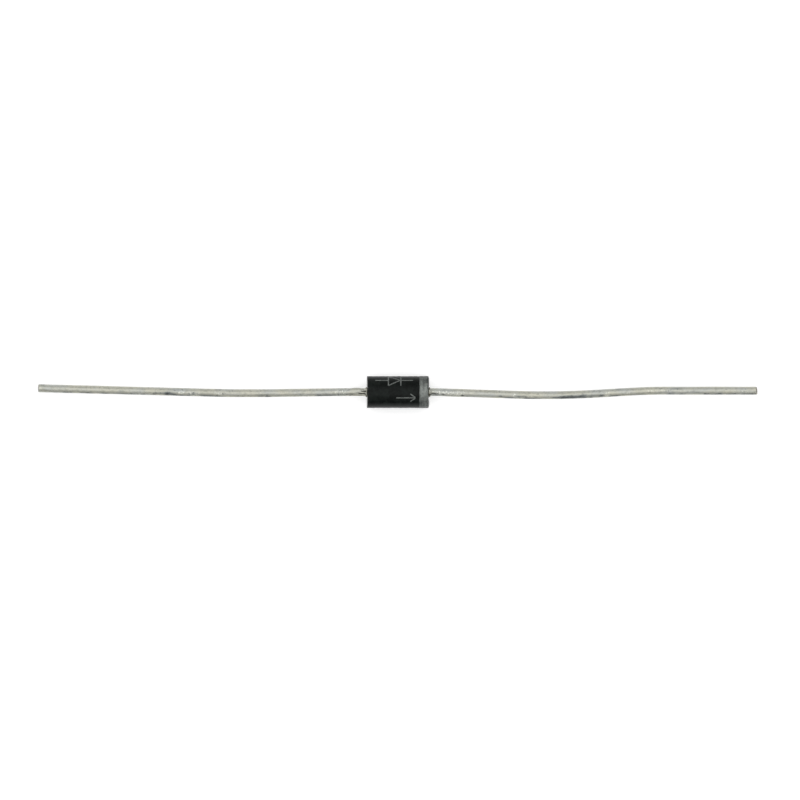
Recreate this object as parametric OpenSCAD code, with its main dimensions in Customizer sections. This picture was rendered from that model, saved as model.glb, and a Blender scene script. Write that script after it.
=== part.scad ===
// Axial rectifier diode in a moulded plastic body, with two tinned copper leads.
//
// The body's axis runs along X. The anode lead leaves towards -X and the cathode lead towards +X,
// on the side of the printed band. The origin is the centre of the body, on its axis, and the
// diode lies as it comes to rest on a table: the underside of the band and both lead tips touch
// the plane z = -(body_d / 2 + ink_t).
// All lengths are in millimetres and all angles in degrees.

/* [Moulded body] */
// Length of the body between its end faces, at the parting plane
body_length = 5.2; // [4.8:0.05:6.4]
// Diameter of the barrel
body_d = 2.67; // [2.5:0.01:3.2]
// Lean of the end faces away from the parting plane, so that the mould lets go
end_draft = 3; // [1:0.5:5]
// Radius of the edge between the barrel and an end face
edge_r = 0.08; // [0.04:0.01:0.14]
// Height of the parting line's flash above the moulded surface
flash_h = 0.02; // [0.01:0.005:0.04]
// Thickness of the flash
flash_t = 0.04; // [0.02:0.01:0.08]

/* [Resin collars] */
// Height of the collar of resin that climbs each lead from the end face
collar_h = 0.12; // [0.06:0.01:0.2]
// Wall of the collar around the wire where it meets the end face
collar_foot = 0.16; // [0.1:0.01:0.24]
// Wall of the collar around the wire at its lip
collar_lip = 0.06; // [0.02:0.01:0.09]

/* [Leads] */
// Diameter of the wire
wire_d = 0.67; // [0.55:0.01:0.8]
// Length of each lead along the wire, from the end face to the cut tip
lead_length = 27.75; // [26:0.25:30]
// Radius left on the edge of the cut tip by the shear
tip_r = 0.09; // [0.04:0.01:0.14]

/* [Nail heads] */
// Diameter of the flat head that is upset on each lead inside the body
head_d = 1.5; // [1.3:0.05:1.7]
// Thickness of the head at its rim
head_t = 0.28; // [0.2:0.02:0.36]
// Length of the taper from the head's back down to the wire
neck_h = 0.2; // [0.1:0.02:0.3]
// Diameter of that taper where it leaves the head
neck_d = 1.0; // [0.9:0.02:1.2]

/* [Junction] */
// Side of the square silicon chip
die_w = 1.14; // [1:0.02:1.2]
// Thickness of the chip
die_t = 0.26; // [0.22:0.01:0.32]
// Width of the step that the etched moat leaves round the chip's anode face
mesa_step = 0.1; // [0.06:0.01:0.14]
// Depth of that step
mesa_h = 0.1; // [0.06:0.01:0.14]
// Thickness of each solder joint between the chip and a head
solder_t = 0.06; // [0.04:0.01:0.1]
// Bare margin that the solder leaves inside the edge of the face it wets
solder_margin = 0.05; // [0.02:0.01:0.1]

/* [Junction coating] */
// Thickness of the silicone rubber over the rims of the heads
coating_wall = 0.09; // [0.05:0.01:0.14]
// Thickness of the silicone rubber over the backs of the heads
coating_back = 0.1; // [0.05:0.01:0.14]

/* [Cathode band] */
// Width of the printed band
band_w = 0.74; // [0.4:0.02:1]
// Bare margin between the band and the body's end
band_margin = 0.08; // [0.04:0.01:0.3]
// Thickness of the ink
ink_t = 0.02; // [0.01:0.005:0.03]

/* [Hidden] */
$fn = 96;
half_length = body_length / 2;
half_die = die_t / 2;
head_face = half_die + solder_t;    // distance from the centre to a head's flat face
head_back = head_face + head_t;     // distance from the centre to a head's back
coating_half = head_back + coating_back;
coating_r = norm([head_d / 2 + coating_wall, head_back]);
mesa_w = die_w - 2 * mesa_step;
exit_run = collar_h + 0.2;          // the wire is still straight where it leaves the collar
reach = body_d;                     // more than any half-width of the body

proud = 0.001;                      // step between a bend and the straight wire that it meets
lap = 0.04;                         // length over which the two overlap

// Headings of a bend, seen along the lead from the body to the tip.
DOWN = 0;
NORTH = 90;                         // towards +Y
SOUTH = -90;                        // towards -Y

// The leads slope down from the body's axis until their tips lie on the table.
slope_radius = 40;
tip_drop = body_d / 2 + ink_t - wire_d / 2;
function slope(run) = asin(tip_drop / (lead_length - run));

// Bending table of each lead: [straight run before the bend, heading, angle, radius].
anode_bends = [
    [exit_run, DOWN, slope(1.1), slope_radius],
    [0.1, SOUTH, 0.8, 30],
    [5.5, NORTH, 2.3, 140],
];
cathode_bends = [
    [exit_run, SOUTH, 1.9, 15],
    [0.2, DOWN, slope(1.8), slope_radius],
    [4.5, NORTH, 5.5, 80],
    [1.6, SOUTH, 3.6, 60],
];

function run_length(bend) = bend[0] + bend[3] * bend[2] * PI / 180;
function table_length(bends, i = 0) =
    i == len(bends) ? 0 : run_length(bends[i]) + table_length(bends, i + 1);

// Turns a child that is drawn along +Z so that it points along +X (side 1) or -X (side -1).
// The child's +X then points down, and its +Y keeps its direction on both sides.
module along_lead(side) {
    mirror([side < 0 ? 1 : 0, 0, 0])
        rotate([0, 90, 0])
            children();
}

// ---- Wire ----

// One bend of round wire: starts along +Z at the origin and turns towards +X. Stubs of the straight
// wire reach into both of its ends, and it is a micrometre prouder than they are, so that the
// pieces join into one solid.
module wire_bend(angle, radius) {
    translate([radius, 0, 0])
        rotate([90, 0, 180])
            rotate_extrude(angle = angle)
                translate([radius, 0])
                    circle(d = wire_d + 2 * proud);
    cylinder(d = wire_d, h = 2 * lap, center = true);
    after_bend(angle, radius)
        cylinder(d = wire_d, h = 2 * lap, center = true);
}

// Moves a child to the end of that bend, in line with the wire there.
module after_bend(angle, radius) {
    translate([radius, 0, 0])
        rotate([0, angle, 0])
            translate([-radius, 0, 0])
                children();
}

// Sheared end of the wire, with the edge rolled over by the blade.
module wire_tip() {
    rotate_extrude() {
        square([wire_d / 2 - tip_r, tip_r]);
        translate([wire_d / 2 - tip_r, 0])
            intersection() {
                circle(r = tip_r);
                square(tip_r);
            }
    }
}

// Wire that follows a bending table from bend i on, then runs straight to its tip.
module bent_wire(bends, rest, i = 0) {
    if (i == len(bends)) {
        cylinder(d = wire_d, h = rest - tip_r);
        translate([0, 0, rest - tip_r])
            wire_tip();
    } else {
        run = bends[i][0];
        heading = bends[i][1];
        angle = bends[i][2];
        radius = bends[i][3];
        cylinder(d = wire_d, h = run);
        translate([0, 0, run])
            rotate([0, 0, heading]) {
                wire_bend(angle, radius);
                after_bend(angle, radius)
                    rotate([0, 0, -heading])
                        bent_wire(bends, rest, i + 1);
            }
    }
}

// ---- Leads ----

// What the resin closes round: the upset head, its taper and the wire up to the end face.
module lead_root() {
    translate([0, 0, head_face])
        cylinder(d = head_d, h = head_t);
    translate([0, 0, head_back])
        cylinder(d1 = neck_d, d2 = wire_d, h = neck_h);
    translate([0, 0, head_back])
        cylinder(d = wire_d, h = half_length - head_back);
}

module lead(side, bends) {
    color([0.76, 0.76, 0.71])
        along_lead(side) {
            lead_root();
            translate([0, 0, half_length])
                bent_wire(bends, lead_length - table_length(bends));
        }
}

module anode_lead() {
    lead(-1, anode_bends);
}

module cathode_lead() {
    lead(1, cathode_bends);
}

// ---- Junction ----

// Square chip, its wider face towards the cathode and the etched mesa towards the anode.
module silicon_die() {
    color([0.3, 0.32, 0.36])
        union() {
            translate([-half_die + mesa_h, -die_w / 2, -die_w / 2])
                cube([die_t - mesa_h, die_w, die_w]);
            translate([-half_die, -mesa_w / 2, -mesa_w / 2])
                cube([die_t, mesa_w, mesa_w]);
        }
}

// Solder disc between a face of the chip and the head that looks at it.
module solder_joint(side, face_w) {
    color([0.62, 0.63, 0.64])
        along_lead(side)
            translate([0, 0, half_die])
                cylinder(d = face_w - 2 * solder_margin, h = solder_t);
}

module anode_solder() {
    solder_joint(-1, mesa_w);
}

module cathode_solder() {
    solder_joint(1, die_w);
}

// Outside of the silicone bead, which bulges round both heads and stops behind them.
module coating_bead() {
    intersection() {
        sphere(r = coating_r);
        cube([2 * coating_half, 3 * coating_r, 3 * coating_r], center = true);
    }
}

module junction_coating() {
    color([0.9, 0.89, 0.85])
        difference() {
            coating_bead();
            along_lead(-1) lead_root();
            along_lead(1) lead_root();
            silicon_die();
            anode_solder();
            cathode_solder();
        }
}

// ---- Moulded body ----

// Half section of the barrel with rounded edges: x is the radius and y runs along the axis.
module barrel_section(r) {
    straight = half_length - edge_r;
    translate([0, -half_length])
        square([r - edge_r, body_length]);
    translate([0, -straight])
        square([r, 2 * straight]);
    for (end = [-1, 1])
        translate([r - edge_r, end * straight])
            circle(r = edge_r);
}

module barrel() {
    rotate([0, 90, 0])
        rotate_extrude()
            barrel_section(body_d / 2);
}

// Side view of the two mould halves: the end faces lean inwards above and below the parting plane.
module mould_ends() {
    lean = reach * tan(end_draft);
    rotate([90, 0, 0])
        linear_extrude(height = 2 * reach, center = true)
            polygon([
                [half_length, 0], [half_length - lean, reach], [lean - half_length, reach],
                [-half_length, 0], [lean - half_length, -reach], [half_length - lean, -reach],
            ]);
}

// Outline of the body in the parting plane, grown by the height of what stands on it.
module parting_outline(grow) {
    straight = half_length - edge_r;
    flat = body_d / 2 - edge_r;
    square([2 * straight, body_d + 2 * grow], center = true);
    square([body_length + 2 * grow, 2 * flat], center = true);
    for (x = [-straight, straight], y = [-flat, flat])
        translate([x, y])
            circle(r = edge_r + grow);
}

// Thin fin of resin all round the body, where the two mould halves met.
module flash() {
    linear_extrude(height = flash_t, center = true)
        parting_outline(flash_h);
}

// Ring of resin that was drawn out along the wire at an end face.
module collar() {
    foot = wire_d / 2 + collar_foot;
    lip = wire_d / 2 + collar_lip;
    rotate_extrude()
        polygon([
            [0, half_length - edge_r], [foot, half_length - edge_r], [foot, half_length],
            [lip, half_length + collar_h], [0, half_length + collar_h],
        ]);
}

module moulded_body() {
    color([0.1, 0.11, 0.1])
        difference() {
            union() {
                intersection() {
                    barrel();
                    mould_ends();
                }
                flash();
                along_lead(-1) collar();
                along_lead(1) collar();
            }
            coating_bead();
            for (side = [-1, 1])
                along_lead(side) {
                    lead_root();
                    translate([0, 0, half_length - edge_r])
                        cylinder(d = wire_d, h = edge_r + exit_run);
                }
        }
}

// ---- Cathode band ----

// Barrel and flash as they stand under the print, grown by the thickness of the ink.
module printed_surface(grow) {
    rotate([0, 90, 0])
        cylinder(d = body_d + 2 * grow, h = 2 * body_length, center = true);
    cube([2 * body_length, body_d + 2 * (flash_h + grow), flash_t + 2 * grow], center = true);
}

// Ink rolled round the barrel near its cathode end.
module cathode_band() {
    color([0.5, 0.51, 0.5])
        intersection() {
            difference() {
                printed_surface(ink_t);
                printed_surface(0);
            }
            translate([half_length - band_margin - band_w, -reach, -reach])
                cube([band_w, 2 * reach, 2 * reach]);
        }
}

moulded_body();
cathode_band();
anode_lead();
cathode_lead();
silicon_die();
anode_solder();
cathode_solder();
junction_coating();
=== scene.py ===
import math

import bmesh
import bpy
import numpy as np
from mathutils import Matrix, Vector, noise


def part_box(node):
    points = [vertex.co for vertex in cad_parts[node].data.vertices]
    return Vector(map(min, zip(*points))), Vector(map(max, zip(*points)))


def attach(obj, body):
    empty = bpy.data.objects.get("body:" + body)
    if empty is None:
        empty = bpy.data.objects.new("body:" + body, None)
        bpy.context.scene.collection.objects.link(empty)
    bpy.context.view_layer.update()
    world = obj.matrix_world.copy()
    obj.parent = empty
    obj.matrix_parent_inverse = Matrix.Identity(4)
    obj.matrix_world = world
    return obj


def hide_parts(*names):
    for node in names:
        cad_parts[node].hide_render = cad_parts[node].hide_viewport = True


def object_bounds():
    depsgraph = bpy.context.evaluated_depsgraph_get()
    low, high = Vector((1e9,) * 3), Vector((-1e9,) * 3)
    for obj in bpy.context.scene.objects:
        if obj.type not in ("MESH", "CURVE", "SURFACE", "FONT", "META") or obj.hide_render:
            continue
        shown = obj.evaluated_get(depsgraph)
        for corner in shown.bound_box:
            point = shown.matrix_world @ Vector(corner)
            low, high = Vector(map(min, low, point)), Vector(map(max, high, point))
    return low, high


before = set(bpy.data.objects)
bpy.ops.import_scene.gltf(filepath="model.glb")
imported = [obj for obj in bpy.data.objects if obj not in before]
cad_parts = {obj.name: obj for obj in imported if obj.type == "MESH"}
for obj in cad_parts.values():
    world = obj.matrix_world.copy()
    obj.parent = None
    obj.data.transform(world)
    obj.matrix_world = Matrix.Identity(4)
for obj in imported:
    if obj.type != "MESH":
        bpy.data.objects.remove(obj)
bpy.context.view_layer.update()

# ---- Silicon chip ----
# Square of diffused silicon with a nickel finish on both faces and a mesa step from the moat etch.
# Its sawn sides are dark and glassy. It is sealed in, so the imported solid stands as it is.

MM = 0.001


def linear(code):
    """Turns an sRGB hex colour into the linear RGBA that the shaders take."""
    levels = [int(code[i:i + 2], 16) / 255 for i in (1, 3, 5)]
    return [c / 12.92 if c <= 0.04045 else ((c + 0.055) / 1.055) ** 2.4 for c in levels] + [1.0]


def add(tree, kind, inputs=None, **settings):
    """Adds a shader node: settings are its own choices, and inputs are values or sockets for its inputs."""
    node = tree.nodes.new("ShaderNode" + kind)
    for name, value in settings.items():
        setattr(node, name, value)
    for name, value in (inputs or {}).items():
        if isinstance(value, bpy.types.NodeSocket):
            tree.links.new(value, node.inputs[name])
        else:
            node.inputs[name].default_value = value
    return node


def new_material(name):
    """An empty material with its output, and the object's own coordinates in metres."""
    material = bpy.data.materials.new(name)
    material.use_nodes = True
    tree = material.node_tree
    tree.nodes.clear()
    return material, tree, add(tree, "OutputMaterial"), add(tree, "TexCoord").outputs["Object"]


def per_metre(size):
    """Scale of a noise whose grains are that many millimetres across."""
    return 1 / (size * MM)


# Sawn and etched silicon: a dark blue-grey, nearly mirror-like, with fine saw lines 0.03 mm apart.
silicon, tree, output, place = new_material("sawn_silicon")
saw_lines = add(tree, "TexWave", {"Vector": place, "Scale": per_metre(0.03) / 20, "Distortion": 0.6},
                bands_direction="Z")
relief = add(tree, "Bump", {"Height": saw_lines.outputs["Fac"], "Distance": 0.001 * MM, "Strength": 0.4})
shader = add(tree, "BsdfPrincipled", {
    "Base Color": linear("#4A5058"), "Metallic": 0.6, "Roughness": 0.22, "Normal": relief.outputs["Normal"]})
tree.links.new(shader.outputs["BSDF"], output.inputs["Surface"])
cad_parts["silicon_die"].material_slots[0].material = silicon

# ---- Solder joints ----
# Two discs of high-lead solder, reflowed between the chip's nickelled faces and the nail heads.
# Soft, grey and faintly wrinkled where they set.

solder, tree, output, place = new_material("reflowed_solder")
wrinkles = add(tree, "TexNoise", {"Vector": place, "Scale": per_metre(0.08), "Detail": 3.0})
relief = add(tree, "Bump", {"Height": wrinkles.outputs["Fac"], "Distance": 0.004 * MM})
shader = add(tree, "BsdfPrincipled", {
    "Base Color": linear("#A6A8AA"), "Metallic": 1.0, "Roughness": 0.34, "Normal": relief.outputs["Normal"]})
tree.links.new(shader.outputs["BSDF"], output.inputs["Surface"])
for node in ("anode_solder", "cathode_solder"):
    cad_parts[node].material_slots[0].material = solder

# ---- Leads ----
# Two soft copper wires, dip-tinned. The inner end is upset into a flat nail head and the outer end is
# sheared off. Handling has left each one with a few long bends, which its bending table gives.

WIRE_R = 0.335
LEAD_LENGTH = 27.83             # to the furthest point of the sheared tip
HALF_BODY = 2.6
HEAD_FACE, HEAD_BACK, NECK_END = 0.19, 0.47, 0.67
HEAD_R, NECK_R = 0.75, 0.5
LIP = 0.12                      # height of the resin collar that grips the wire
FOOT_R, LIP_R = 0.495, 0.395    # radius of the collar at the end face and at its lip
DOWN, NORTH, SOUTH = 0, 90, -90


def slope(run):
    """Angle in degrees that brings the tip down to the table, for a bend centred that far out."""
    low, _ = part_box("cathode_band")
    return math.degrees(math.asin((-low.z / MM - WIRE_R) / (LEAD_LENGTH - run)))


# Rows of a bending table: straight run before the bend, heading, angle and radius, in mm and degrees.
BENDS = {
    "anode_lead": [(0.32, DOWN, slope(1.1), 40), (0.1, SOUTH, 0.8, 30), (5.5, NORTH, 2.3, 140)],
    "cathode_lead": [(0.32, SOUTH, 1.9, 15), (0.2, DOWN, slope(1.8), 40), (4.5, NORTH, 5.5, 80),
                     (1.6, SOUTH, 3.6, 60)],
}
# Marks on a wire: where each starts and ends along it in mm from the body, the flank that it lies on as
# seen from above (-1 is the south edge, 0 the top and 1 the north edge), its half width there and its
# strength. All but the colder stretches lie on the upper half of the wire, which is the half that was
# handled; some of them are painted light and shade instead, as the note at each table says.
LUMPS = {                       # drips and hollows of the tin, in mm
    "anode_lead": [(0.5, 1.3, 0.9, 0.6, 0.055), (0.1, 1.65, -1.0, 0.5, -0.085),
                   (1.8, 2.6, -1.0, 0.4, 0.02)],
    "cathode_lead": [(0.1, 1.0, -1.0, 0.5, -0.09), (1.5, 2.7, -1.0, 0.5, 0.02),
                     (0.5, 3.0, 1.0, 0.5, -0.01)],
}
PAINTED_BODY_REFLECTION = {                     # dark streaks beside the body: painted reflection and shade of the black body
    "anode_lead": [(0.05, 0.5, 0.16, 0.11, 1.3), (0.12, 0.7, -0.5, 0.17, 1.8),
                   (0.75, 1.7, -0.62, 0.14, 1.0), (0.55, 0.95, -0.1, 0.12, 0.6)],
    "cathode_lead": [(0.1, 0.85, -0.6, 0.17, 1.7), (0.12, 0.4, -0.2, 0.2, 0.6),
                     (1.05, 1.35, -0.6, 0.2, 0.9), (2.74, 2.95, -0.75, 0.25, 1.3),
                     (3.05, 3.35, -0.85, 0.18, 0.6)],
}
CREEP = {                       # tin that has climbed onto the collar
    "anode_lead": [(-1, 1, 0.0, 0.75, 1.3)],
    "cathode_lead": [(-1, 1, -0.05, 0.25, 1.3)],
}
SCUFFS_AND_EDGE_SHADE = {                      # tin rubbed thin and gone grey; the narrow dark marks along the south edge are painted shade
    "anode_lead": [(1.7, 2.8, -0.5, 0.3, 0.6), (2.8, 4.3, -0.85, 0.25, 1.1),
                   (8.05, 9.4, -0.4, 0.4, 0.5), (8.2, 8.45, -0.9, 0.2, 1.3),
                   (8.85, 9.0, -0.9, 0.2, 1.1), (10.8, 11.1, -0.9, 0.2, 1.0),
                   (12.0, 13.0, -0.9, 0.15, 1.1), (13.1, 14.0, -0.88, 0.17, 1.5),
                   (12.7, 14.9, -0.4, 0.5, 0.45), (14.9, 15.3, -0.9, 0.16, 1.5),
                   (15.5, 16.3, -0.88, 0.18, 1.7), (16.3, 17.1, -0.4, 0.5, 0.85),
                   (16.2, 16.45, -0.6, 0.25, 1.2), (16.75, 16.95, -0.6, 0.3, 0.7),
                   (17.0, 18.1, -0.4, 0.5, 0.5), (19.4, 21.4, -0.88, 0.16, 0.9),
                   (21.8, 22.6, -0.88, 0.17, 1.4), (23.0, 24.3, -0.88, 0.16, 1.0),
                   (25.0, 25.6, -0.88, 0.17, 1.4), (25.9, 26.6, -0.88, 0.16, 1.0),
                   (27.2, 27.9, 0.95, 0.25, 0.9)],
    "cathode_lead": [(5.85, 6.35, -0.6, 0.25, 0.7), (6.45, 7.1, -0.88, 0.22, 1.5),
                     (7.35, 8.3, -0.35, 0.3, 0.6), (8.0, 9.5, -0.9, 0.2, 1.0),
                     (10.4, 11.3, -0.7, 0.3, 0.9), (11.2, 13.05, -0.55, 0.42, 1.1),
                     (11.6, 12.6, -0.8, 0.2, 0.7), (13.0, 14.9, -0.5, 0.4, 0.7),
                     (15.25, 16.1, -0.88, 0.22, 1.3), (15.8, 16.2, 0.8, 0.25, 0.8),
                     (16.9, 18.5, -0.92, 0.2, 0.8), (19.1, 19.3, -0.75, 0.25, 0.9),
                     (20.3, 20.6, -0.9, 0.22, 1.3), (20.5, 21.5, 0.5, 0.3, 0.5),
                     (21.1, 21.6, -0.9, 0.2, 1.1), (22.2, 22.5, -0.15, 0.3, 0.9),
                     (23.2, 23.75, -0.9, 0.16, 1.7), (24.0, 24.7, -0.9, 0.16, 1.8),
                     (24.5, 24.7, -0.6, 0.2, 0.9), (25.1, 26.0, -0.9, 0.15, 1.8),
                     (26.3, 26.9, -0.9, 0.15, 1.7), (27.0, 27.6, -0.9, 0.17, 2.1)],
}
FROST_AND_TIP_HIGHLIGHT = {                       # bright crystals where the bath froze last; the anode's mark at its tip is a painted highlight
    "anode_lead": [(1.8, 2.7, -0.1, 0.6, 1.0), (3.1, 3.3, -0.1, 0.2, 0.8), (8.3, 9.5, 0.0, 0.3, 0.4),
                   (12.2, 12.9, -0.2, 0.5, 0.8), (14.1, 15.0, -0.4, 0.6, 0.8),
                   (15.4, 15.9, -0.1, 0.4, 1.0), (27.55, 27.75, 0.0, 0.5, 2.5)],
    "cathode_lead": [(0.3, 3.0, -0.1, 0.6, 1.0), (3.4, 3.6, -0.1, 0.3, 0.6), (7.0, 7.3, -0.1, 0.4, 1.1),
                     (8.3, 8.8, -0.4, 0.2, 0.7), (14.8, 15.25, 0.0, 0.9, 1.0),
                     (16.3, 17.0, -0.35, 0.2, 0.8), (18.4, 20.0, 0.0, 0.5, 0.5),
                     (21.2, 22.6, 0.0, 0.6, 0.4), (26.2, 26.6, -0.2, 0.15, 1.0)],
}
COOL = {                        # stretches where the whole coat is a colder grey
    "anode_lead": [(-1, 2.8, 0, 9, 1), (7.7, 9.6, -0.6, 0.8, 0.6), (12.0, 18.1, 0, 9, 0.9),
                   (23.5, 27, 1, 0.4, 0.4)],
    "cathode_lead": [(-1, 2.6, 0, 9, 1), (5.8, 9.6, 0, 9, 0.6), (10.4, 16.6, -0.3, 1.2, 0.9),
                     (16.6, 19.2, 0, 9, 0.5), (20.5, 27.9, 0, 9, 0.55)],
}
RING_POINTS = 80
RIM_R = 0.07                    # edge that the shear rolled over
TIP_RINGS, CUT_RINGS = 9, 7     # rings from the rolled edge on, and those of them on bare copper
CUT_LEAN = {"anode_lead": (6, -2), "cathode_lead": (10, 4)}     # lean of the cut, down and to the north


def skin(name, rings, loop=False):
    """A closed mesh through rings of points: a loop joins its last ring to its first, a bar is capped."""
    rows, columns = rings.shape[:2]
    index = np.arange(rows * columns).reshape(rows, columns)
    across = np.roll(index, -1, axis=1)
    last = rows if loop else rows - 1
    after, after_across = np.roll(index, -1, axis=0), np.roll(across, -1, axis=0)
    faces = np.stack([index, across, after_across, after], axis=-1)[:last].reshape(-1, 4).tolist()
    points = rings.reshape(-1, 3).tolist()
    if not loop:
        for row, turn in ((0, -1), (rows - 1, 1)):
            ring, ring_across = index[row], across[row]
            centre = len(points)
            points.append(rings[row].mean(axis=0).tolist())
            faces += [(a, b, centre)[::turn] for a, b in zip(ring.tolist(), ring_across.tolist())]
    mesh = bpy.data.meshes.new(name)
    mesh.from_pydata([[c * MM for c in p] for p in points], [], faces)
    work = bmesh.new()
    work.from_mesh(mesh)
    bmesh.ops.recalc_face_normals(work, faces=work.faces)
    work.to_mesh(mesh)
    work.free()
    mesh.shade_smooth()
    mesh.set_sharp_from_angle(angle=math.radians(50))
    piece = bpy.data.objects.new(name, mesh)
    bpy.context.scene.collection.objects.link(piece)
    return piece


def ripple(points, size, seed):
    """Smooth noise between -1 and 1 at each point, with grains of that size."""
    shift = Vector((seed * 17.3, seed * 5.7, seed * 11.1))
    levels = [noise.noise(Vector(p) / size + shift) for p in points.reshape(-1, 3)]
    return np.array(levels).reshape(points.shape[:-1])


def spread(marks, reach, flank, fade=0.12):
    """Sum of marks at each point of the wire's skin, with soft ends and edges."""
    total = np.zeros(np.broadcast(reach, flank).shape)
    for start, end, middle, width, strength in marks:
        begun = np.clip((reach - start + fade / 2) / fade, 0, 1)
        left = np.clip((end - reach + fade / 2) / fade, 0, 1)
        total = total + strength * begun * left * np.exp(-((flank - middle) / width) ** 2)
    return total


def stations(side, bends):
    """Points along the wire outside the body: reach along it, place, and down, north and ahead there."""
    spot = np.array([side * HALF_BODY, 0, 0])
    down, north, ahead = np.array([0, 0, -1.0]), np.array([0, 1.0, 0]), np.array([side, 0, 0.0])
    found, travelled = [], 0.0

    def walk(length, heading, radius, step_size=0.04):
        nonlocal spot, down, north, ahead, travelled
        steps = max(2, round(length / step_size))
        inward = down * math.cos(heading) + north * math.sin(heading)
        flank = north * math.cos(heading) - down * math.sin(heading)
        for step in range(1, steps + 1):
            part = length * step / steps
            turn = part / radius if radius else 0
            if radius:
                place = spot + radius * ((1 - math.cos(turn)) * inward + math.sin(turn) * ahead)
            else:
                place = spot + part * ahead
            forward = math.cos(turn) * ahead + math.sin(turn) * inward
            bent = math.cos(turn) * inward - math.sin(turn) * ahead
            new_down = bent * math.cos(heading) - flank * math.sin(heading)
            new_north = bent * math.sin(heading) + flank * math.cos(heading)
            found.append((travelled + part, place, new_down, new_north, forward))
        travelled += length
        _, spot, down, north, ahead = found[-1]

    for number, (run, heading, angle, radius) in enumerate(bends):
        walk(run, 0, None, 0.04 if number else 0.016)
        walk(radius * math.radians(angle), math.radians(heading), radius)
    walk(LEAD_LENGTH - RIM_R - travelled, 0, None)
    return found


def build_lead(name, side):
    """The whole lead: nail head, straight root, bent run with its marks, and sheared tip."""
    round_angles = np.linspace(0, 2 * math.pi, RING_POINTS, endpoint=False)
    cosines, sines = np.cos(round_angles)[:, None], np.sin(round_angles)[:, None]
    circle = cosines * np.array([0, 0, -1.0]) + sines * np.array([0, 1.0, 0])
    root = ((HEAD_FACE, HEAD_R), (HEAD_BACK, HEAD_R), (HEAD_BACK, NECK_R), (NECK_END, WIRE_R),
            (HALF_BODY - 0.05, WIRE_R))
    rings = [circle * radius + np.array([side * x, 0, 0]) for x, radius in root]
    run = stations(side, BENDS[name])
    reach = np.array([r[0] for r in run])[:, None]
    centres, downs, norths = (np.array([r[i] for r in run])[:, None, :] for i in (1, 2, 3))
    outward = cosines[None] * downs + sines[None] * norths
    surface = centres + outward * WIRE_R
    flank = sines[:, 0][None, :]
    upper_half = np.clip((0.1 - cosines[:, 0][None, :]) / 0.4, 0, 1)       # fades out underneath
    # Of these marks, the dark streaks beside the body are a painted reflection and shade of the black body,
    # the narrow dark scuffs along the south edge are painted shade, and the anode's bright mark at its tip is
    # a painted highlight.
    frost_and_tip_highlight = spread(FROST_AND_TIP_HIGHLIGHT[name], reach, flank) * upper_half
    painted_body_reflection = spread(PAINTED_BODY_REFLECTION[name], reach, flank, fade=0.2) * upper_half
    scuff_and_edge_shade = spread(SCUFFS_AND_EDGE_SHADE[name], reach, flank, fade=0.5) * upper_half
    cool = spread(COOL[name], reach, flank, fade=0.8)
    # Painted shade: how far each point faces south; the material darkens the south flank by it.
    painted_south_shade = np.broadcast_to(-flank, frost_and_tip_highlight.shape)
    # The dipped tin runs in long drips, with finer lumps that are strongest where it froze last.
    stretched = surface * np.array([0.35, 1, 1])
    awake = np.clip((reach - LIP) / 0.15, 0, 1) * np.clip((LEAD_LENGTH - reach) / 0.5, 0, 1)
    rough = 0.3 + frost_and_tip_highlight + 0.8 * np.exp(-reach / 1.6)
    lumps = 0.007 * ripple(stretched, 0.55, side) + 0.012 * rough * ripple(surface, 0.2, side + 5) - 0.004
    # The wire is also sunk a little under the painted reflection and shade of the body.
    lumps = lumps + spread(LUMPS[name], reach, flank, fade=0.4) * upper_half - 0.02 * np.clip(painted_body_reflection, 0, 1)
    # Beside the body it has crept up onto the collar here and there, in a thin ragged sheet.
    collar_r = FOOT_R - (FOOT_R - LIP_R) * np.sin(np.clip(reach / LIP, 0, 1) * math.pi / 2)
    sheet = spread(CREEP[name], reach, flank) * upper_half + 0.9 * ripple(surface, 0.22, side + 9)
    over_lip = np.clip((LIP + 0.12 - reach) / 0.12, 0, 1)
    cover = np.clip(sheet * 2.2, 0, 1) * over_lip * (collar_r + 0.014 - WIRE_R)
    surface = surface + outward * (lumps * awake + cover)[..., None]
    rings += list(surface)
    # Sheared tip: the edge is rolled over, and the cut face leans a little.
    _, centre, down, north, ahead = run[-1]
    lean_down, lean_north = (math.tan(math.radians(a)) for a in CUT_LEAN[name])
    for turn in np.linspace(0.2, 1, 5) * math.pi / 2:
        radius = WIRE_R - RIM_R + RIM_R * math.cos(turn)
        rings.append(centre + (cosines * down + sines * north) * radius + ahead * RIM_R * math.sin(turn))
    for share in (0.93, 0.75, 0.5, 0.25):
        radius = (WIRE_R - RIM_R) * share
        hollow = 0.008 * (1 - share)
        rings.append(centre + (cosines * down + sines * north) * radius + ahead * (RIM_R - hollow))
    for back in range(1, 20):
        offset = (rings[-back] - centre) / WIRE_R
        drop = lean_down * (1 - offset @ down) + abs(lean_north) + lean_north * (offset @ north)
        rings[-back] = rings[-back] - ahead * (WIRE_R * drop * min(1, (20 - back) / 10))[:, None]
    wire = skin(name.replace("lead", "wire"), np.array(rings))
    # The marks are kept on the skin for the tin's material.
    inside = RING_POINTS * len(root)
    outside = RING_POINTS * TIP_RINGS + 2       # with the two centre points
    for label, shares in (("frost_and_tip_highlight", frost_and_tip_highlight), ("painted_body_reflection", painted_body_reflection), ("scuff_and_edge_shade", scuff_and_edge_shade), ("cool", cool),
                          ("painted_south_shade", painted_south_shade)):
        whole = np.zeros(len(wire.data.vertices), np.float32)
        whole[inside:-outside] = shares.ravel()
        wire.data.attributes.new(label, "FLOAT", "POINT").data.foreach_set("value", whole)
    cut = np.zeros(len(wire.data.vertices), np.float32)
    cut[-RING_POINTS * CUT_RINGS - 2:] = 1.0
    wire.data.attributes.new("cut_face", "FLOAT", "POINT").data.foreach_set("value", cut)
    return wire


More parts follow.
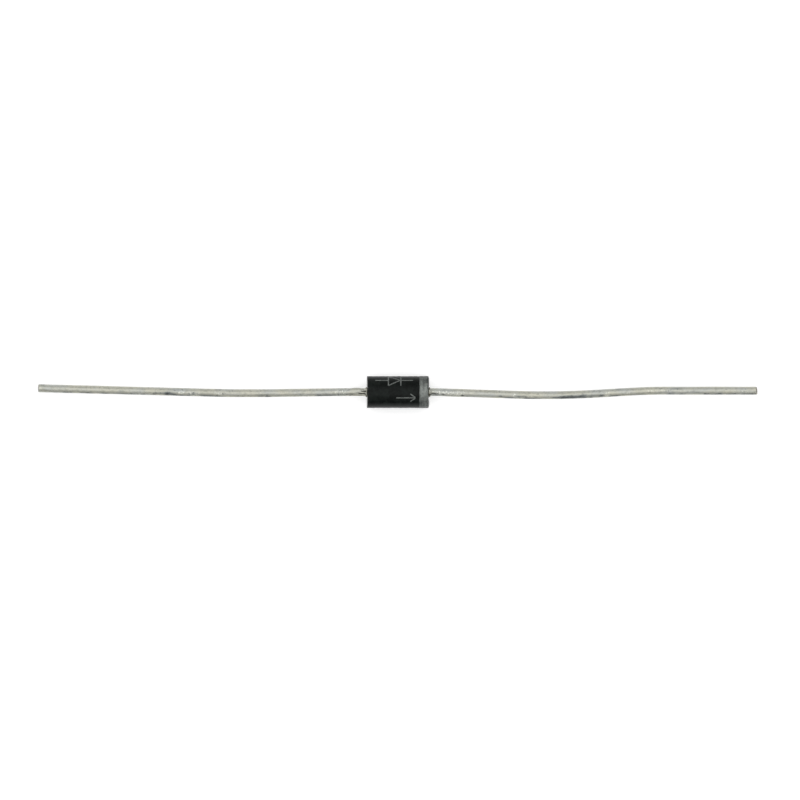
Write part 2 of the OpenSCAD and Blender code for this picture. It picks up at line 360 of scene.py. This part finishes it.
# Dip-tinned copper gone dull: metallic, satin, a pale warm grey with cooler patches. The surface has
# frozen grains and drawing lines, grey scuffs, and darkened copper with smeared tin on the sheared face.
# Painted
# light on it: shade on the south flank and in dark dashes along its edge, the black body's reflection and
# shade beside the body, and a highlight on the anode's tip.
tinned, tree, output, place = new_material("dip_tinned_copper")
along = add(tree, "Mapping", {"Vector": place, "Scale": (0.3, 1.0, 1.0)}).outputs["Vector"]
patches = add(tree, "TexNoise", {"Vector": along, "Scale": per_metre(0.7), "Detail": 4.0, "Roughness": 0.65})
short = add(tree, "Mapping", {"Vector": place, "Scale": (0.85, 1.0, 1.0)}).outputs["Vector"]
grains = add(tree, "TexNoise", {"Vector": short, "Scale": per_metre(0.32), "Detail": 5.0, "Roughness": 0.72})


def mark(label, start, end, ragged=1.0):
    """Share of a mark at the shaded point, with its edge broken up by the grains of the coat."""
    stored = add(tree, "Attribute", attribute_name=label).outputs["Fac"]
    broken = add(tree, "Math", {0: grains.outputs["Fac"], 1: ragged, 2: -0.5 * ragged},
                 operation="MULTIPLY_ADD")
    both = add(tree, "Math", {0: stored, 1: broken.outputs[0]})
    share = add(tree, "MapRange", {"Value": both.outputs[0], "From Min": start, "From Max": end})
    return share.outputs["Result"]


chill = add(tree, "Math", {0: patches.outputs["Fac"], 1: 3.0, 2: mark("cool", 0.9, 2.1, 1.0)},
            operation="MULTIPLY_ADD")
coolness = add(tree, "MapRange", {"Value": chill.outputs[0], "From Min": 1.3, "From Max": 2.0})
coat = add(tree, "Mix", {0: coolness.outputs["Result"], 6: linear("#C5C4B6"), 7: linear("#BABDBA")},
           data_type="RGBA")
worn = add(tree, "MapRange", {"Value": grains.outputs["Fac"], "From Min": 0.36, "From Max": 0.58,
                              "To Min": 0.6, "To Max": 0.0})
mottled = add(tree, "Mix", {0: worn.outputs["Result"], 6: coat.outputs[2], 7: linear("#85877E")},
              data_type="RGBA")
crystals = add(tree, "TexNoise", {"Vector": place, "Scale": per_metre(0.15), "Detail": 3.0, "Roughness": 0.6})
speck = add(tree, "MapRange", {"Value": crystals.outputs["Fac"], "From Min": 0.48, "From Max": 0.62,
                               "To Max": 0.8})
# Bright frozen crystals, and at the anode's tip a painted highlight on the rolled edge.
sparkle = add(tree, "Math", {0: mark("frost_and_tip_highlight", 0.2, 0.7, 0.6), 1: speck.outputs["Result"]},
              operation="MULTIPLY")
frosted_and_tip_highlight = add(tree, "Mix", {0: sparkle.outputs[0], 6: mottled.outputs[2], 7: linear("#E6E7DE")},
              data_type="RGBA")
# Painted shade: the south flank is darkened in place of the shade and dark reflection that fall on it.
edge = add(tree, "Mix", {0: mark("painted_south_shade", 0.85, 1.5, 1.6), 6: frosted_and_tip_highlight.outputs[2], 7: linear("#7C7D75")},
           data_type="RGBA")
# Grey scuffs where the tin is rubbed thin, and painted shade in the narrow dark marks along the south edge.
grey_scuff_and_edge_shade = add(tree, "Mix", {0: mark("scuff_and_edge_shade", 0.15, 0.9, 2.8), 6: edge.outputs[2], 7: linear("#7F8381")},
             data_type="RGBA")
dark_scuff_and_edge_shade = add(tree, "Mix", {0: mark("scuff_and_edge_shade", 0.8, 2.1, 4.0), 6: grey_scuff_and_edge_shade.outputs[2], 7: linear("#55595A")},
            data_type="RGBA")
# Painted reflection and shade of the black body: near-black streaks on the wire beside it.
with_body_reflection = add(tree, "Mix", {0: mark("painted_body_reflection", 0.1, 1.15, 2.4), 6: dark_scuff_and_edge_shade.outputs[2], 7: linear("#22221D")},
            data_type="RGBA")
cut = add(tree, "Attribute", attribute_name="cut_face")
downward = add(tree, "Mapping", {"Vector": place, "Scale": (1.0, 1.0, 0.12)}).outputs["Vector"]
shear_lines = add(tree, "TexNoise", {"Vector": downward, "Scale": per_metre(0.06), "Detail": 3.0})
smeared = add(tree, "MapRange", {"Value": shear_lines.outputs["Fac"], "From Min": 0.4, "From Max": 0.62})
copper = add(tree, "Mix", {0: smeared.outputs["Result"], 6: linear("#5F4B3F"), 7: linear("#54514A")},
             data_type="RGBA")
colour = add(tree, "Mix", {0: cut.outputs["Fac"], 6: with_body_reflection.outputs[2], 7: copper.outputs[2]},
             data_type="RGBA")
gloss = add(tree, "MapRange", {"Value": grains.outputs["Fac"], "From Min": 0.3, "From Max": 0.7,
                               "To Min": 0.4, "To Max": 0.56})
lines = add(tree, "Mapping", {"Vector": place, "Scale": (0.04, 1.0, 1.0)}).outputs["Vector"]
drawing = add(tree, "TexNoise", {"Vector": lines, "Scale": per_metre(0.07), "Detail": 2.0})
drawn = add(tree, "Bump", {"Height": drawing.outputs["Fac"], "Distance": 0.004 * MM, "Strength": 0.6})
frozen = add(tree, "Bump", {"Height": grains.outputs["Fac"], "Distance": 0.04 * MM, "Strength": 0.7,
                            "Normal": drawn.outputs["Normal"]})
sheared = add(tree, "Math", {0: shear_lines.outputs["Fac"], 1: cut.outputs["Fac"]}, operation="MULTIPLY")
torn = add(tree, "Bump", {"Height": sheared.outputs[0], "Distance": 0.015 * MM,
                          "Normal": frozen.outputs["Normal"]})
shader = add(tree, "BsdfPrincipled", {
    "Base Color": colour.outputs[2], "Metallic": 1.0, "Roughness": gloss.outputs["Result"],
    "Normal": torn.outputs["Normal"]})
tree.links.new(shader.outputs["BSDF"], output.inputs["Surface"])

for name, side in (("anode_lead", -1), ("cathode_lead", 1)):
    wire = build_lead(name, side)
    wire.data.materials.append(tinned)
    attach(wire, "root")
    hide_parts(name)

# ---- Junction coating ----
# White silicone rubber, dropped round both nail heads while the stack is held by its leads. It wets
# them, bulges round the chip and cures to a soft satin bead that keeps moisture off the junction.

silicone, tree, output, place = new_material("cured_silicone")
cloud = add(tree, "TexNoise", {"Vector": place, "Scale": per_metre(0.5), "Detail": 2.0})
tint = add(tree, "Mix", {0: cloud.outputs["Fac"], 6: linear("#F2F0E8"), 7: linear("#DEDCD0")},
           data_type="RGBA")
relief = add(tree, "Bump", {"Height": cloud.outputs["Fac"], "Distance": 0.01 * MM})
shader = add(tree, "BsdfPrincipled", {
    "Base Color": tint.outputs[2], "Roughness": 0.42, "Subsurface Weight": 0.2,
    "Subsurface Scale": 0.3 * MM, "Normal": relief.outputs["Normal"]})
tree.links.new(shader.outputs["BSDF"], output.inputs["Surface"])
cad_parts["junction_coating"].material_slots[0].material = silicone

# ---- Moulded body ----
# Black epoxy filled with fused silica, transfer-moulded round the leads in a two-part tool. The tool
# leaves drafted end faces, a ragged fin along the parting line and a collar of resin on each wire.

BARREL_R = 1.335
DRAFT = math.tan(math.radians(3))
EDGE_R = {-1: 0.05, 1: 0.06}    # rounding between the barrel and each end face
FIN = 0.018                     # height of the fin
FIN_WIDTH = 0.022               # half of its width
BEAD_R, BEAD_HALF = 0.963, 0.57 # the space that the junction coating fills
CHIP_Y, CHIP_DEPTH = -0.54, 0.05        # a chipped place in the cathode end
CROWN = 0.02                    # the cathode end stands this proud at its middle
ROLL_FROM, ROLL_OFF = 1.0, 0.07 # from here to its flanks, it falls away by this much


def end_plane(side, radius, angle):
    """Distance from the centre to an end face, which leans back from the parting plane on both sides."""
    height, flank = radius * np.sin(angle), radius * np.cos(angle)
    x = HALF_BODY - np.abs(height) * DRAFT
    if side > 0:
        x = x - CHIP_DEPTH * np.exp(-((flank - CHIP_Y) / 0.16) ** 2 - (height / 0.55) ** 4)
        rolled = np.clip((np.abs(flank) - ROLL_FROM) / (BARREL_R - ROLL_FROM), 0, 1)
        x = x + CROWN - ROLL_OFF * rolled ** 2
    return x


def fin_at(radius, angle):
    """Share of the fin's full height that stands at a point: it is a narrow ridge along the parting plane."""
    return np.exp(-(radius * np.sin(angle) / FIN_WIDTH) ** 2)


def barrel_radius(x, angle):
    """Radius of the moulded skin at a distance x along the barrel, with its fin and its rounded ends."""
    side = np.where(x < 0, -1, 1)
    edge = np.where(x < 0, EDGE_R[-1], EDGE_R[1])
    end = np.where(x < 0, end_plane(-1, BARREL_R, angle), end_plane(1, BARREL_R, angle))
    past = np.clip(np.abs(x) - (end - edge), 0, edge)
    ragged = 0.65 + 0.35 * np.sin(x * 9.1 + np.cos(angle)) * np.sin(x * 4.3 + 1)
    return BARREL_R - edge + np.sqrt(edge ** 2 - past ** 2) + FIN * ragged * fin_at(BARREL_R, angle)


def body_angles():
    """Angles round the barrel, closer together along the parting plane so that the fin has a shape."""
    fine = np.array([0.0, 0.006, 0.012, 0.018, 0.026, 0.036, 0.05]) / BARREL_R
    quarter = np.concatenate([fine, np.linspace(0.08 / BARREL_R, math.pi / 2, 44)])
    half = np.concatenate([quarter, math.pi - quarter[-2::-1]])
    return np.concatenate([half, math.pi + half[1:-1]])


def body_rings():
    """Rings of the body: over the outside from end to end, then back through the space inside."""
    angle = body_angles()
    ridge = FIN * fin_at(1.0, angle)

    def ring(x, radius):
        x, radius = np.broadcast_to(x, angle.shape), np.broadcast_to(radius, angle.shape)
        return np.stack([x, radius * np.cos(angle), radius * np.sin(angle)], axis=-1)

    def end_rings(side):
        """From the barrel's last ring over the rounded edge and the end face to the collar's lip."""
        edge, found = EDGE_R[side], []
        flat_r = BARREL_R - edge
        for turn in np.linspace(0, math.pi / 2, 7):
            x = end_plane(side, flat_r, angle) - edge * (1 - math.sin(turn)) + ridge * math.sin(turn)
            found.append(ring(side * x, flat_r + edge * math.cos(turn) + ridge * math.cos(turn)))
        for radius in np.linspace(flat_r - 0.05, FOOT_R + 0.03, 14):
            found.append(ring(side * (end_plane(side, radius, angle) + ridge), radius))
        for part in np.linspace(0, 1, 6):
            climb = LIP * part ** 1.5
            radius = FOOT_R - (FOOT_R - LIP_R) * math.sin(part * math.pi / 2)
            start = end_plane(side, FOOT_R, angle) + ridge * (1 - part)
            found.append(ring(side * (start + (HALF_BODY + climb - start) * part), radius))
        found.append(ring(side * (HALF_BODY + LIP), LIP_R - 0.02))
        found.append(ring(side * (HALF_BODY + LIP), WIRE_R))
        return found

    outside = []
    for share in np.linspace(-1, 1, 110)[1:-1]:
        side = 1 if share > 0 else -1
        x = share * (end_plane(side, BARREL_R, angle) - EDGE_R[side])
        outside.append(ring(x, barrel_radius(x, angle)))
    cavity = [ring(NECK_END, WIRE_R), ring(BEAD_HALF, (WIRE_R + NECK_R) / 2)]
    for x in np.linspace(BEAD_HALF, 0, 8):
        cavity.append(ring(x, math.sqrt(BEAD_R ** 2 - x ** 2)))
    back = [r * np.array([-1, 1, 1]) for r in cavity[-2::-1]]
    left, right = end_rings(-1), end_rings(1)
    return np.array(left[::-1] + outside + right + cavity + back)


# Filled epoxy with a fine spark-eroded skin: black with a green cast, satin, scuffed a little paler.
# The thin resin that bled onto the wires is browner.
epoxy, tree, output, place = new_material("moulded_epoxy")
cloud = add(tree, "TexNoise", {"Vector": place, "Scale": per_metre(1.1), "Detail": 6.0, "Roughness": 0.82})
far = add(tree, "Math", {0: add(tree, "SeparateXYZ", {"Vector": place}).outputs["X"]}, operation="ABSOLUTE")
scuffed = add(tree, "MapRange", {"Value": cloud.outputs["Fac"], "From Min": 0.45, "From Max": 0.7})
bled = add(tree, "MapRange", {"Value": far.outputs[0], "From Min": 2.59 * MM, "From Max": 2.64 * MM})
black = add(tree, "Mix", {0: scuffed.outputs["Result"], 6: linear("#070B09"), 7: linear("#1D2320")},
            data_type="RGBA")
tint = add(tree, "Mix", {0: bled.outputs["Result"], 6: black.outputs[2], 7: linear("#5C5A4E")},
           data_type="RGBA")
dull = add(tree, "MapRange", {"Value": cloud.outputs["Fac"], "From Min": 0.3, "From Max": 0.7,
                              "To Min": 0.24, "To Max": 0.34})
erosion = add(tree, "TexNoise", {"Vector": place, "Scale": per_metre(0.09), "Detail": 3.0, "Roughness": 0.6})
relief = add(tree, "Bump", {"Height": erosion.outputs["Fac"], "Distance": 0.01 * MM, "Strength": 0.6})
shader = add(tree, "BsdfPrincipled", {
    "Base Color": tint.outputs[2], "Roughness": dull.outputs["Result"], "Specular IOR Level": 0.095,
    "Normal": relief.outputs["Normal"]})
tree.links.new(shader.outputs["BSDF"], output.inputs["Surface"])

body = skin("epoxy_body", body_rings(), loop=True)
body.data.materials.append(epoxy)
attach(body, "root")
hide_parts("moulded_body")

# ---- Cathode band ----
# A ring of grey marking ink that a rubber wheel rolls round the cathode end. It follows the barrel and
# runs a little askew onto the rounded edge, and the filler in the epoxy shows through where it is thin.

BAND_START, BAND_END = 1.815, 2.53
BAND_SKEW = 0.045               # the end of the band drifts by this much from one flank to the other
INK = 0.018

# Aluminium-flake ink over black epoxy: a dull silver grey that darkens at a slant, mottled where it is
# thin, with faint streaks round the barrel where the wheel slipped, and painted shade towards its north and
# south flanks.
ink, tree, output, place = new_material("rolled_flake_ink")
mottle = add(tree, "TexNoise", {"Vector": place, "Scale": per_metre(0.42), "Detail": 5.0,
                                "Roughness": 0.9})
round_barrel = add(tree, "Mapping", {"Vector": place, "Scale": (1.0, 0.12, 0.12)}).outputs["Vector"]
rolled = add(tree, "TexNoise", {"Vector": round_barrel, "Scale": per_metre(0.16), "Detail": 3.0})
uneven = add(tree, "Mix", {0: 0.35, 2: mottle.outputs["Fac"], 3: rolled.outputs["Fac"]}, data_type="FLOAT")
# Painted shade: the ink is made thinner, and so darker, towards the north and south flanks as seen from
# above.
sideways = add(tree, "Math", {0: add(tree, "SeparateXYZ", {"Vector": place}).outputs["Y"]},
               operation="ABSOLUTE")
painted_flank_shade = add(tree, "MapRange", {"Value": sideways.outputs[0], "From Min": 0.5 * MM, "From Max": 1.1 * MM,
                                    "To Max": 0.11})
worn = add(tree, "Math", {0: uneven.outputs[0], 1: painted_flank_shade.outputs["Result"]})
thin = add(tree, "MapRange", {"Value": worn.outputs[0], "From Min": 0.4, "From Max": 0.64, "To Max": 0.9})
tint = add(tree, "Mix", {0: thin.outputs["Result"], 6: linear("#858985"), 7: linear("#353837")},
           data_type="RGBA")
relief = add(tree, "Bump", {"Height": mottle.outputs["Fac"], "Distance": 0.01 * MM, "Strength": 0.5})
shader = add(tree, "BsdfPrincipled", {
    "Base Color": tint.outputs[2], "Metallic": 0.8, "Roughness": 0.42, "Specular IOR Level": 0.3,
    "Normal": relief.outputs["Normal"]})
tree.links.new(shader.outputs["BSDF"], output.inputs["Surface"])


def band_rings():
    """Rings of the band: its outer face from edge to edge, and its underside just inside the epoxy."""
    angle = body_angles()
    wobble = np.array([noise.noise(Vector((math.cos(a) * 2.5, math.sin(a) * 2.5, 3))) for a in angle])
    start = BAND_START + 0.02 * wobble
    end = BAND_END - BAND_SKEW * np.cos(angle) + 0.015 * np.roll(wobble, 40)
    rings = []
    for share, rise in ((0, -0.01), (0, 0.5), (0.02, 0.9), *((s, 1.0) for s in np.linspace(0.05, 0.95, 16)),
                        (0.98, 0.9), (1, 0.5), (1, -0.01), (0.75, -0.01), (0.5, -0.01), (0.25, -0.01)):
        x = start + (end - start) * share
        radius = barrel_radius(x, angle) + (INK * rise if rise > 0 else rise)
        rings.append(np.stack([x, radius * np.cos(angle), radius * np.sin(angle)], axis=-1))
    return np.array(rings)


band = skin("ink_band", band_rings(), loop=True)
band.data.materials.append(ink)
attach(band, "root")
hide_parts("cathode_band")

# ---- Printed symbols ----
# The same ink, stamped thinner in two rows on the barrel: a diode's circuit symbol, with its bar
# towards the cathode, and below it a plain arrow that points to the band. Both are generic.

STROKE = 0.1                    # width of a printed line
STAMP = 0.010                   # thickness of its ink
ROW_HEIGHT = 1.1
UPPER_ROW, LOWER_ROW = 0.55, -1.05      # where each row starts, round the barrel from its top line


def stroke_rings(line):
    """A printed line of ink that lies on the barrel: line holds points (along the axis, round the barrel)."""
    line = np.array(line, float)
    ahead = np.gradient(line, axis=0)
    ahead /= np.linalg.norm(ahead, axis=1)[:, None]
    beside = np.stack([-ahead[:, 1], ahead[:, 0]], axis=1) * STROKE / 2
    rings = []
    for spot, half in zip(line, beside):
        corners = []
        for flank, rise in ((1, -0.004), (1, 0.6), (0.8, 1), (-0.8, 1), (-1, 0.6), (-1, -0.004)):
            x, arc = spot + half * flank
            angle = math.pi / 2 - arc / BARREL_R
            radius = float(barrel_radius(np.array(x), np.array(angle))) + (STAMP * rise if rise > 0 else rise)
            corners.append((x, radius * math.cos(angle), radius * math.sin(angle)))
        rings.append(corners)
    return np.array(rings)


def straight(start, end):
    """Points of a straight line on the barrel, 0.05 mm apart."""
    start, end = np.array(start), np.array(end)
    return np.linspace(start, end, max(3, round(float(np.linalg.norm(end - start)) / 0.05)))


middle, top = UPPER_ROW + ROW_HEIGHT / 2, UPPER_ROW + ROW_HEIGHT
low_middle = LOWER_ROW + ROW_HEIGHT / 2
STROKES = {
    "symbol_anode_line": straight((-1.9, middle), (-0.8, middle)),
    "symbol_base": straight((-0.8, UPPER_ROW), (-0.8, top)),
    "symbol_upper_side": straight((-0.8, top), (0.2, middle)),
    "symbol_lower_side": straight((-0.8, UPPER_ROW), (0.2, middle)),
    "symbol_bar": straight((0.25, UPPER_ROW), (0.25, top)),
    "symbol_cathode_line": straight((0.25, middle), (1.27, middle)),
    "arrow_shaft": straight((-0.15, low_middle), (1.45, low_middle)),
    "arrow_upper_barb": straight((1.05, low_middle + 0.34), (1.47, low_middle + 0.03)),
    "arrow_lower_barb": straight((1.05, low_middle - 0.34), (1.47, low_middle - 0.03)),
}

# Stamped ink is thinner than the band's, so more of the black shows through it.
stamped, tree, output, place = new_material("stamped_marking_ink")
mottle = add(tree, "TexNoise", {"Vector": place, "Scale": per_metre(0.16), "Detail": 4.0, "Roughness": 0.7})
thin = add(tree, "MapRange", {"Value": mottle.outputs["Fac"], "From Min": 0.35, "From Max": 0.7})
tint = add(tree, "Mix", {0: thin.outputs["Result"], 6: linear("#6E726F"), 7: linear("#303332")},
           data_type="RGBA")
shader = add(tree, "BsdfPrincipled", {
    "Base Color": tint.outputs[2], "Roughness": 0.5, "Specular IOR Level": 0.3})
tree.links.new(shader.outputs["BSDF"], output.inputs["Surface"])

for name, line in STROKES.items():
    stroke = skin(name, stroke_rings(line))
    stroke.data.materials.append(stamped)
    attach(stroke, "root")

# ---- Table, light and camera ----
# The diode lies on a sheet of white board, in the soft light of a white tent that is open, and so
# darker, towards the south. The camera looks straight down.

board, tree, output, place = new_material("white_board")
fibres = add(tree, "TexNoise", {"Vector": place, "Scale": per_metre(2.0), "Detail": 2.0})
tint = add(tree, "Mix", {0: fibres.outputs["Fac"], 6: linear("#D8D8D8"), 7: linear("#DCDCDC")},
           data_type="RGBA")
paper = add(tree, "BsdfDiffuse", {"Color": tint.outputs[2]})
rays = add(tree, "LightPath")
seen = add(tree, "Math", {0: rays.outputs["Is Camera Ray"], 1: rays.outputs["Is Glossy Ray"]},
           operation="MAXIMUM")
shown = add(tree, "Math", {0: seen.outputs[0], 1: rays.outputs["Is Transmission Ray"]}, operation="MAXIMUM")
lift = add(tree, "Math", {0: shown.outputs[0], 1: 0.5}, operation="MULTIPLY")
glow = add(tree, "Emission", {"Color": linear("#FFFFFF"), "Strength": lift.outputs[0]})
both = add(tree, "AddShader", {0: paper.outputs[0], 1: glow.outputs[0]})
tree.links.new(both.outputs[0], output.inputs["Surface"])

table_mesh = bpy.data.meshes.new("table")
table_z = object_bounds()[0].z
corners = [(x, y, table_z) for x, y in ((-3, -3), (3, -3), (3, 3), (-3, 3))]
table_mesh.from_pydata(corners, [], [(0, 1, 2, 3)])
table = bpy.data.objects.new("table", table_mesh)
table.data.materials.append(board)
bpy.context.scene.collection.objects.link(table)

world = bpy.data.worlds.new("light_tent")
world.use_nodes = True
tree = world.node_tree
tree.nodes.clear()
direction = add(tree, "TexCoord").outputs["Generated"]
axes = add(tree, "SeparateXYZ", {"Vector": direction})
towards_lamp = add(tree, "VectorMath", {0: direction, 1: (0, 0.07, 0.9975)}, operation="DOT_PRODUCT")
ceiling = add(tree, "MapRange", {"Value": towards_lamp.outputs["Value"], "From Min": 0.74, "From Max": 0.9},
              interpolation_type="SMOOTHSTEP")
above_gap = add(tree, "Math", {0: axes.outputs["Z"], 1: 1.5, 2: axes.outputs["Y"]}, operation="MULTIPLY_ADD")
wall = add(tree, "MapRange", {"Value": above_gap.outputs[0], "From Min": -0.8, "From Max": 0.0,
                              "To Min": 0.1, "To Max": 0.78}, interpolation_type="SMOOTHSTEP")
inside = add(tree, "Mix", {0: ceiling.outputs["Result"], 2: wall.outputs["Result"], 3: 1.6},
             data_type="FLOAT")
rays = add(tree, "LightPath")
level = add(tree, "Mix", {0: rays.outputs["Is Camera Ray"], 2: inside.outputs[0], 3: 1.0}, data_type="FLOAT")
tent = add(tree, "Background", {"Color": linear("#FFFFFF"), "Strength": level.outputs[0]})
tree.links.new(tent.outputs[0], add(tree, "OutputWorld").inputs["Surface"])
bpy.context.scene.world = world

VIEW_WIDTH = 67.42 * MM         # width of the scene that the frame takes in
VIEW_CENTRE = (0.177 * MM, -0.668 * MM)
CAMERA_HEIGHT = 0.6
camera_data = bpy.data.cameras.new("camera")
camera_data.sensor_width = 36
camera_data.lens = camera_data.sensor_width * CAMERA_HEIGHT / VIEW_WIDTH
camera_data.clip_start, camera_data.clip_end = 0.01, 10
camera = bpy.data.objects.new("camera", camera_data)
camera.location = (*VIEW_CENTRE, CAMERA_HEIGHT)
bpy.context.scene.collection.objects.link(camera)
bpy.context.scene.camera = camera
bpy.context.scene.view_settings.view_transform = "Standard"
